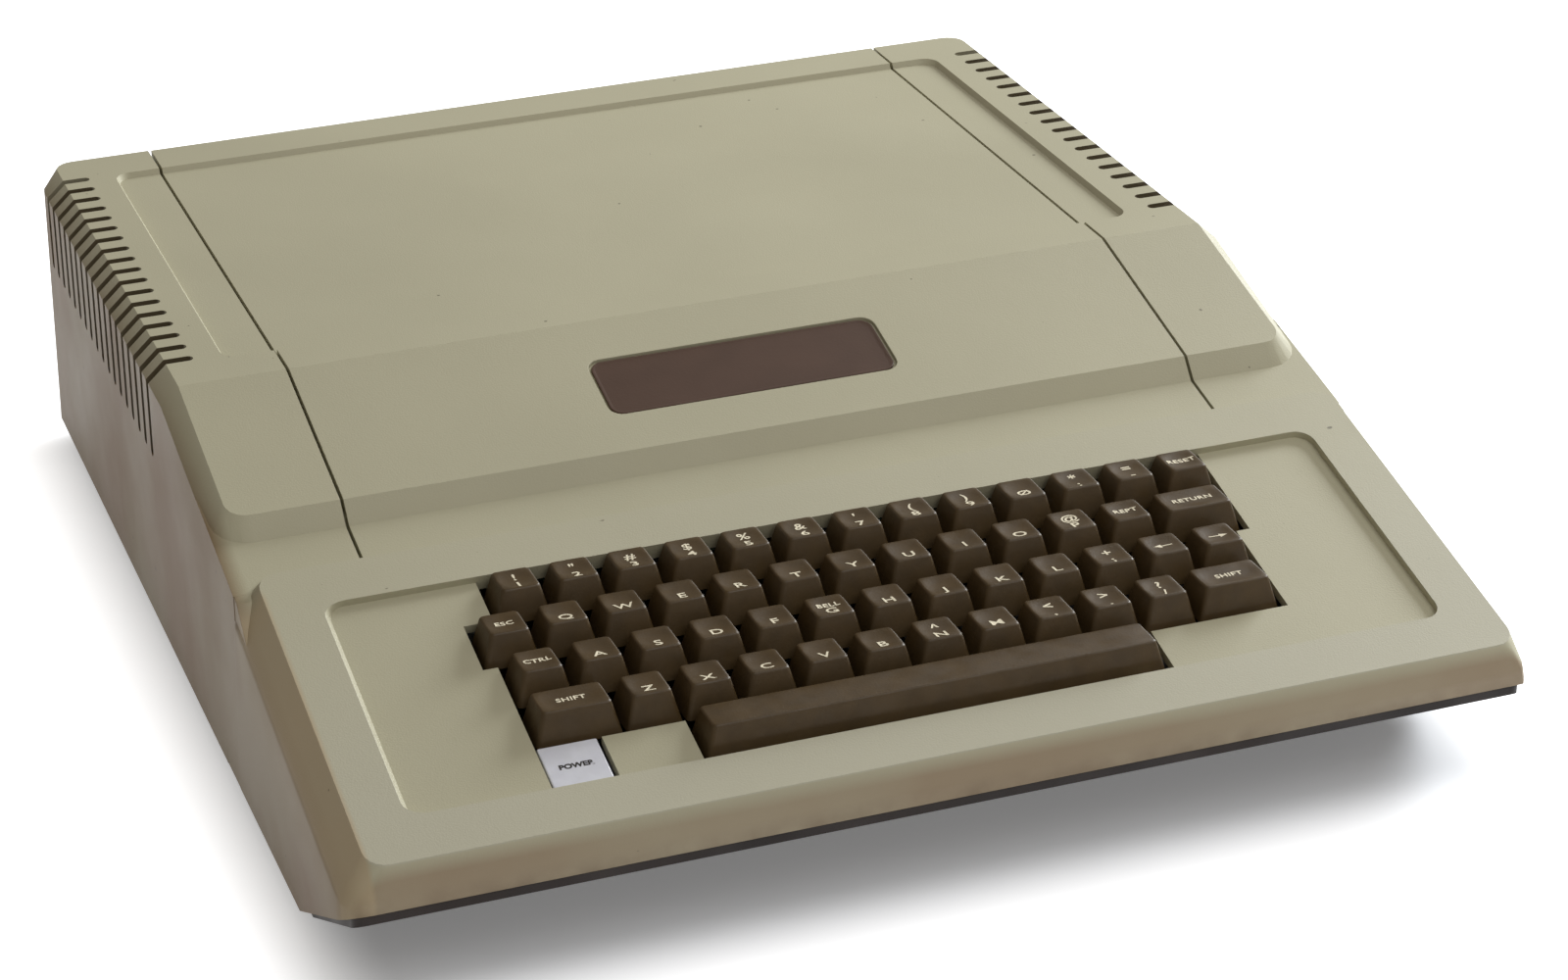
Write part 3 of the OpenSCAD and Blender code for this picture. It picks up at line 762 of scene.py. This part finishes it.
class COMPUTER_OT_base(bpy.types.Operator):
    """Finishes the steel base pan, its rubber feet and its screws"""

    bl_idname = "computer.base"
    bl_label = "Base Pan"

    least_foot = 15 * MM  # a loose part that is narrower is a screw
    screw_slot = (9 * MM, 0.9 * MM, 1.2 * MM)

    def execute(self, context):
        merged_copy("base_pan", "base_pan_sheet")
        bpy.ops.mesh.separate(type="LOOSE")
        parts = sorted(context.selected_objects, key=lambda p: -max(p.dimensions))
        colour = context.scene.computer_case.pan_colour
        paint = material_of(painted_steel, colour)
        rubber = material_of(foot_rubber, linear("#1C1B1A"))
        zinc = material_of(zinc_plate, linear(ZINC_COLOUR))
        for index, part in enumerate(parts):
            if index == 0:
                part.name = "base_pan_sheet"
                soften(part, 0.6)
                finish_piece(part, paint, CASE_BODY, "pan_metal", "base_pan")
            elif part.dimensions.x > self.least_foot:
                part.name = f"foot_{index}"
                soften(part, 0.8)
                finish_piece(part, rubber, CASE_BODY, "pan_metal")
            else:
                part.name = f"pan_screw_{index}"
                self.cut_slot(part)
                soften(part, 0.2)
                finish_piece(part, zinc, CASE_BODY, "pan_metal")
        return {"FINISHED"}

    def cut_slot(self, screw):
        """Sinks a slot in a screw's head, which faces down."""
        centre = sum((v.co for v in screw.data.vertices), Vector()) / len(screw.data.vertices)
        low = min(v.co.z for v in screw.data.vertices)
        blade = new_box(self.screw_slot, (centre.x, centre.y, low))
        apply_modifier(screw, "BOOLEAN", object=blade, operation="DIFFERENCE", solver="EXACT")
        bpy.data.objects.remove(blade)


class COMPUTER_OT_keys(bpy.types.Operator):
    """Models the key caps with their legends and sets one on each key"""

    bl_idname = "computer.keys"
    bl_label = "Keys"

    single = 18 * MM  # width of the skirt of a single cap
    roof = 2.2 * MM
    rim = 0.75 * MM
    post_side = 5.4 * MM
    longest_dished = 40 * MM  # only the space bar is longer
    dish_rings = (0.84, 0.78, 0.7, 0.5)  # each ring's size, as a share of the one around it

    # Where each line of a legend lies from front to back, from the middle of the top
    letter_line = -3.0 * MM
    lower_line = -3.9 * MM
    upper_line = 1.4 * MM
    small_line = 0.9 * MM
    arrow_line = -0.6 * MM

    ink_raised = 0.06 * MM
    ink_grown = 0.07 * MM
    word_stretch = (1.12, 1.08)  # of the letters' width, and of the space between them
    letter_stretch = (1.14, 1.0)

    # An arrow's head and tail, with their places along it from the middle of the top
    head_radius = 1.5 * MM
    head_place = 1.6 * MM
    head_shape = (0.85, 1.15, 1)
    tail_size = (4.2 * MM, 0.42 * MM, 2 * ink_raised)
    tail_place = -1.0 * MM

    def execute(self, context):
        settings = context.scene.computer_keys
        plastic = material_of(keycap_abs, settings.colour)
        ink = material_of(legend_abs, settings.legend_colour)
        templates = {}
        for node in CAD_KEYS:
            low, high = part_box(node)
            width = round((high.x - low.x) / MM, 1) * MM
            if width not in templates:
                templates[width] = self.model_cap(settings, width, high.y - low.y)
                templates[width].data.materials.append(plastic)
            cap = templates[width].copy()
            cap.data = templates[width].data.copy()
            context.collection.objects.link(cap)
            lettering = self.legend(settings, node, width, ink)
            cap = joined([cap, *lettering], node + "_cap")
            place = Vector(((low.x + high.x) / 2, (low.y + high.y) / 2, high.z - settings.height))
            cap.data.transform(Matrix.Translation(place))
            finish_piece(cap, None, node, "key_plastic", node)
        for template in templates.values():
            bpy.data.objects.remove(template)
        return {"FINISHED"}

    def model_cap(self, settings, width, depth):
        """A hollow cap with a tapered skirt, a rounded rim, a dished top and its post."""
        h = settings.height
        top_w = width - (self.single - settings.top_width)
        top_d = settings.top_depth
        taper = (top_w / width, top_d / depth, 1)

        def on_top(element):
            return all(vertex.co.z > h - 0.01 * MM for vertex in element.verts)

        cap = new_box((width, depth, h), (0, 0, h / 2))
        bpy.ops.object.mode_set(mode="EDIT")
        choose(cap, "faces", lambda f: f.normal.z > 0.9)
        bpy.ops.transform.resize(value=taper, center_override=(0, 0, h))
        choose(cap, "edges", lambda e: abs(e.verts[0].co.z - e.verts[1].co.z) > h / 2)
        bpy.ops.mesh.bevel(offset=settings.corner, segments=5, affect="EDGES")
        choose(cap, "faces", lambda f: f.normal.z < -0.9)
        bpy.ops.mesh.inset(thickness=settings.wall)
        bpy.ops.mesh.extrude_region_move(TRANSFORM_OT_translate={"value": (0, 0, h - self.roof)})
        bpy.ops.transform.resize(value=taper, center_override=(0, 0, 0))
        choose(cap, "edges", lambda e: on_top(e) and e.calc_length() > 5 * MM)
        bpy.ops.mesh.subdivide(number_cuts=5)
        choose(cap, "edges", on_top)
        bpy.ops.mesh.bevel(offset=self.rim, segments=4, affect="EDGES")
        choose(cap, "faces", lambda f: on_top(f) and f.normal.z > 0.99)
        for ring in self.dish_rings:
            bpy.ops.mesh.extrude_region_move()
            bpy.ops.transform.resize(value=(ring, ring, 1), center_override=(0, 0, h))
        bpy.ops.object.mode_set(mode="OBJECT")
        for vertex in cap.data.vertices:
            if vertex.co.z > h - 1.0 * MM:
                vertex.co.z -= self.sink(settings, width, vertex.co)
        only(cap)
        bpy.ops.object.shade_smooth_by_angle(angle=math.radians(35))
        return joined([cap, self.model_post()], "cap_template")

    def model_post(self):
        """The square post under a cap that slides in its switch, square to the sloping deck."""
        length = POST_TOP - POST_END
        post = new_box((self.post_side, self.post_side, length), (0, 0, POST_END + length / 2))
        apply_modifier(post, "BEVEL", width=0.5 * MM, segments=2)
        post.location = Matrix.Rotation(DECK_TILT, 3, "X") @ -SKIRT_PLACE
        post.rotation_euler = (DECK_TILT, 0, 0)
        apply_place(post)
        return post

    def sink(self, settings, width, point):
        """How far the dish lowers a point of a cap's top. The space bar has no dish."""
        if width > self.longest_dished:
            return 0.0
        reach = settings.top_width / 2
        beyond = max(0.0, abs(point.x) - (width - self.single) / 2)
        return settings.dish * max(0.0, 1 - (math.hypot(beyond, point.y) / reach) ** 2)

    def legend(self, settings, node, width, ink):
        """The lettering of a key, laid on its top. The space bar has none."""
        if node == "key_space":
            return []
        if node.endswith("_arrow"):
            return [self.arrow(settings, width, ink, 1 if "right" in node else -1)]
        if node in WORD_LEGENDS:
            lines = [(WORD_LEGENDS[node], settings.word, 0.0)]
        elif node in TWO_LINE_LEGENDS:
            lower, upper = TWO_LINE_LEGENDS[node]
            lines = [(lower, settings.letter, self.lower_line),
                     (upper, settings.letter, self.upper_line)]
        else:
            letter = node.removeprefix("key_").upper().replace("0", "Ø")
            lines = [(letter, settings.letter, self.letter_line)]
        if node == "key_g":
            lines.append(("BELL", settings.word, self.small_line))
        return [self.text(settings, width, ink, *line) for line in lines]

    def text(self, settings, width, ink, words, size, line):
        wide, spacing = self.word_stretch if len(words) > 1 else self.letter_stretch
        letters = raised_lettering(words, size, self.ink_raised, self.ink_grown, wide,
                                   spacing=spacing, steps=3)
        letters.data.transform(Matrix.Translation((0, line, 0)))
        return self.lay(settings, width, ink, letters)

    def arrow(self, settings, width, ink, way):
        """An arrow with a solid head."""
        deselect_all()
        bpy.ops.mesh.primitive_cylinder_add(vertices=3, radius=self.head_radius,
                                            depth=2 * self.ink_raised,
                                            location=(way * self.head_place, self.arrow_line, 0),
                                            rotation=(0, 0, math.radians(-90 * way)))
        head = bpy.context.object
        head.scale = self.head_shape
        apply_place(head)
        tail = new_box(self.tail_size, (way * self.tail_place, self.arrow_line, 0))
        return self.lay(settings, width, ink, joined([head, tail], "arrow"))

    def lay(self, settings, width, ink, lettering):
        """Lowers flat lettering onto a cap's dished top."""
        lift = settings.height + self.ink_raised / 2
        for vertex in lettering.data.vertices:
            vertex.co.z += lift - self.sink(settings, width, vertex.co)
        lettering.data.materials.clear()
        lettering.data.materials.append(ink)
        return lettering


class COMPUTER_OT_lamp(bpy.types.Operator):
    """Finishes the power lamp and prints its word"""

    bl_idname = "computer.lamp"
    bl_label = "Power Lamp"

    letter = 2.7 * MM
    ink_raised = 0.05 * MM
    ink_grown = 0.1 * MM
    ink_wide = 1.16

    def execute(self, context):
        settings = context.scene.computer_keys
        acrylic = material_of(lamp_acrylic, settings.lamp_colour)
        lamp = merged_copy("power_lamp", "power_lamp_cap")
        soften(lamp, 0.5)
        finish_piece(lamp, acrylic, CASE_BODY, "lamp_plastic", "power_lamp")
        word = raised_lettering("POWER", self.letter, self.ink_raised, self.ink_grown,
                                self.ink_wide)
        word.name = "power_word"
        word.location = self.top_centre(lamp)
        word.rotation_euler = (DECK_TILT, 0, 0)
        apply_place(word)
        dark = material_of(lamp_print, linear("#26231F"))
        finish_piece(word, dark, CASE_BODY, "lamp_plastic")
        return {"FINISHED"}

    def top_centre(self, lamp):
        """The middle of the lamp's largest upward face."""
        faces = [f for f in lamp.data.polygons if f.normal.z > 0.9]
        face = max(faces, key=lambda f: f.area * (f.center.z > 0))
        return face.center + face.normal * 0.02 * MM


class COMPUTER_OT_insides(bpy.types.Operator):
    """Finishes the keyboard frame, the logic board, the power supply and its switch"""

    bl_idname = "computer.insides"
    bl_label = "Insides"

    # Heights in mm over the underside of the keyboard frame
    circuit_top = 2
    switch_plate = (9, 12.5)
    switch_plate_area = 200 * MM**2  # a smaller face at that height is a switch's

    board_top = 1.65 * MM  # over the logic board's underside
    card_slots_from = 106 * MM

    def execute(self, context):
        self.keyboard_frame()
        self.logic_board()
        steel = material_of(chromated_steel, linear("#B5A97C"))
        supply = merged_copy("power_supply", "power_supply_box", whole_faces=False)
        finish_piece(supply, steel, CASE_BODY, "supply_metal", "power_supply")
        gloss = material_of(rocker_gloss, linear("#1B1A19"))
        rocker = merged_copy("power_switch", "power_rocker_cap")
        soften(rocker, 0.6, segments=3)
        finish_piece(rocker, gloss, "rocker", "switch_plastic", "power_switch")
        return {"FINISHED"}

    def paint_faces(self, piece, materials, pick):
        """Gives each face one of the materials: the one whose number pick returns for it."""
        piece.data.materials.clear()
        for material in materials:
            piece.data.materials.append(material)
        for face in piece.data.polygons:
            face.material_index = pick(face)

    def keyboard_frame(self):
        nylon = material_of(filled_nylon, linear(NYLON_COLOUR))
        zinc = material_of(zinc_plate, linear(ZINC_COLOUR))
        laminate = material_of(board_laminate, linear(LAMINATE_COLOUR))
        carrier = merged_copy("keyboard_frame", "keyboard_carrier")
        floor = min(vertex.co.dot(DECK_NORMAL) for vertex in carrier.data.vertices)

        def pick(face):
            height = (face.center.dot(DECK_NORMAL) - floor) / MM
            if height < self.circuit_top:
                return 2
            level = self.switch_plate[0] < height < self.switch_plate[1]
            return 1 if level and face.area > self.switch_plate_area else 0

        self.paint_faces(carrier, [nylon, zinc, laminate], pick)
        finish_piece(carrier, None, CASE_BODY, "frame_metal", "keyboard_frame")

    def logic_board(self):
        epoxy = material_of(moulded_epoxy, linear("#201F1F"))
        nylon = material_of(filled_nylon, linear(NYLON_COLOUR))
        zinc = material_of(zinc_plate, linear(ZINC_COLOUR))
        laminate = material_of(board_laminate, linear(LAMINATE_COLOUR))
        merged_copy("logic_board", "logic_board_laminate")
        bpy.ops.mesh.separate(type="LOOSE")
        parts = sorted(bpy.context.selected_objects, key=lambda p: -p.dimensions.y)
        board = parts[0]
        board.name = "logic_board_laminate"
        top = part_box("logic_board")[0].z + self.board_top

        def pick(face):
            if face.center.z < top:
                return 0
            return 2 if face.center.y > self.card_slots_from else 1

        self.paint_faces(board, [laminate, epoxy, nylon], pick)
        finish_piece(board, None, CASE_BODY, "board_laminate", "logic_board")
        for index, jack in enumerate(parts[1:], 1):
            jack.name = f"jack_{index}"
            soften(jack, 0.3)
            finish_piece(jack, zinc, CASE_BODY, "board_laminate")


class COMPUTER_OT_stage(bpy.types.Operator):
    """Sets up the camera, the pale floor and the soft studio light"""

    bl_idname = "computer.stage"
    bl_label = "Stage"

    aim = (0, 0, 0.05)
    window_place = (1.79, 0.91, 0.95)
    window_size = 0.9
    window_tint = (0.95, 0.98, 1.0)
    softbox_place = (0.5, -1.0, 1.6)
    softbox_size = 1.4
    softbox_share = 0.25  # of the key light's power
    frame_shift = (0.0847, 0.0013)

    # The floor glows white to the camera, but for the shadow: least inside a box of this half
    # size, and full this far outside it
    shadow_half = (0.171, 0.2, 0)
    glow_reach = 0.055
    least_glow = 0.17

    def execute(self, context):
        settings = context.scene.computer_stage
        self.camera(context, settings)
        self.lights(settings)
        self.floor()
        self.sky(context, settings)
        context.scene.view_settings.view_transform = "Standard"
        return {"FINISHED"}

    def camera(self, context, settings):
        deselect_all()
        bpy.ops.object.camera_add(location=settings.camera_place, rotation=settings.camera_turn)
        camera = bpy.context.object
        camera.name = "photo_camera"
        camera.data.sensor_width = 36
        camera.data.lens = settings.lens
        camera.data.shift_x, camera.data.shift_y = self.frame_shift
        camera.data.clip_start = 0.05
        camera.data.clip_end = 50
        context.scene.camera = camera

    def lights(self, settings):
        power = settings.key_light
        window = self.area("key_light", self.window_place, self.window_size, power)
        window.data.color = self.window_tint
        self.area("softbox", self.softbox_place, self.softbox_size, power * self.softbox_share)

    def area(self, name, place, size, power):
        deselect_all()
        bpy.ops.object.light_add(type="AREA", location=place)
        lamp = bpy.context.object
        lamp.name = name
        lamp.data.size = size
        lamp.data.energy = power
        towards = Vector(self.aim) - Vector(place)
        lamp.rotation_euler = towards.to_track_quat("-Z", "Y").to_euler()
        return lamp

    def floor(self):
        """A broad pale floor that keeps the shadow and shows white to the camera and in gloss."""
        deselect_all()
        bpy.ops.mesh.primitive_plane_add(size=30, location=(0, 0, 0))
        ground = bpy.context.object
        ground.name = "studio_floor"
        material, tree, shader, place = new_surface("studio_floor", linear("#EEF1F6"), 0.9,
                                                    specular=0.0)
        path = add(tree, "LightPath")
        seen = maths(tree, "MAXIMUM", path.outputs["Is Camera Ray"], path.outputs["Is Glossy Ray"])
        beside = add(tree, "VectorMath", {0: place}, operation="ABSOLUTE")
        beyond = add(tree, "VectorMath", {0: beside.outputs["Vector"], 1: self.shadow_half},
                     operation="SUBTRACT")
        outside = add(tree, "VectorMath", {0: beyond.outputs["Vector"]}, operation="MAXIMUM")
        away = add(tree, "VectorMath", {0: outside.outputs["Vector"]}, operation="LENGTH")
        glow = ramp(tree, away.outputs["Value"], 0, self.glow_reach, low=self.least_glow,
                    interpolation_type="SMOOTHSTEP")
        white = add(tree, "Emission", {"Strength": maths(tree, "MULTIPLY", seen, glow)})
        both = add(tree, "AddShader", {0: shader.outputs["BSDF"], 1: white.outputs["Emission"]})
        tree.links.new(both.outputs["Shader"], tree.nodes["Material Output"].inputs["Surface"])
        ground.data.materials.append(material)

    def sky(self, context, settings):
        world = bpy.data.worlds.new("studio_sky")
        world.use_nodes = True
        context.scene.world = world
        tree = world.node_tree
        background = tree.nodes["Background"]
        path = add(tree, "LightPath")
        seen = maths(tree, "MAXIMUM", path.outputs["Is Camera Ray"],
                     path.outputs["Is Transmission Ray"])
        strength = ramp(tree, seen, 0, 1, low=settings.sky)
        tree.links.new(strength, background.inputs["Strength"])
        tint = blend(tree, seen, linear("#FFF4E6"), (1, 1, 1, 1))
        tree.links.new(tint, background.inputs["Color"])


class COMPUTER_PT_parts(bpy.types.Panel):
    """Lists the pieces of the computer and their settings"""

    bl_idname = "COMPUTER_PT_parts"
    bl_label = "Vintage Home Computer"
    bl_space_type = "VIEW_3D"
    bl_region_type = "UI"
    bl_category = "Computer"

    def draw(self, context):
        layout = self.layout
        for operator in OPERATORS:
            layout.operator(operator.bl_idname)
        for group in (context.scene.computer_case, context.scene.computer_keys,
                      context.scene.computer_stage):
            box = layout.box()
            for name in group.__annotations__:
                box.prop(group, name)


OPERATORS = (
    COMPUTER_OT_shells,
    COMPUTER_OT_badge,
    COMPUTER_OT_base,
    COMPUTER_OT_keys,
    COMPUTER_OT_lamp,
    COMPUTER_OT_insides,
    COMPUTER_OT_stage,
)
CLASSES = (CaseSettings, KeySettings, StageSettings, *OPERATORS, COMPUTER_PT_parts)


def register():
    for cls in CLASSES:
        bpy.utils.register_class(cls)
    bpy.types.Scene.computer_case = PointerProperty(type=CaseSettings)
    bpy.types.Scene.computer_keys = PointerProperty(type=KeySettings)
    bpy.types.Scene.computer_stage = PointerProperty(type=StageSettings)


def unregister():
    del bpy.types.Scene.computer_stage
    del bpy.types.Scene.computer_keys
    del bpy.types.Scene.computer_case
    for cls in reversed(CLASSES):
        bpy.utils.unregister_class(cls)


def main():
    register()
    bpy.ops.computer.shells()
    bpy.ops.computer.badge()
    bpy.ops.computer.base()
    bpy.ops.computer.keys()
    bpy.ops.computer.lamp()
    bpy.ops.computer.insides()
    bpy.ops.computer.stage()


if __name__ == "__main__":
    main()
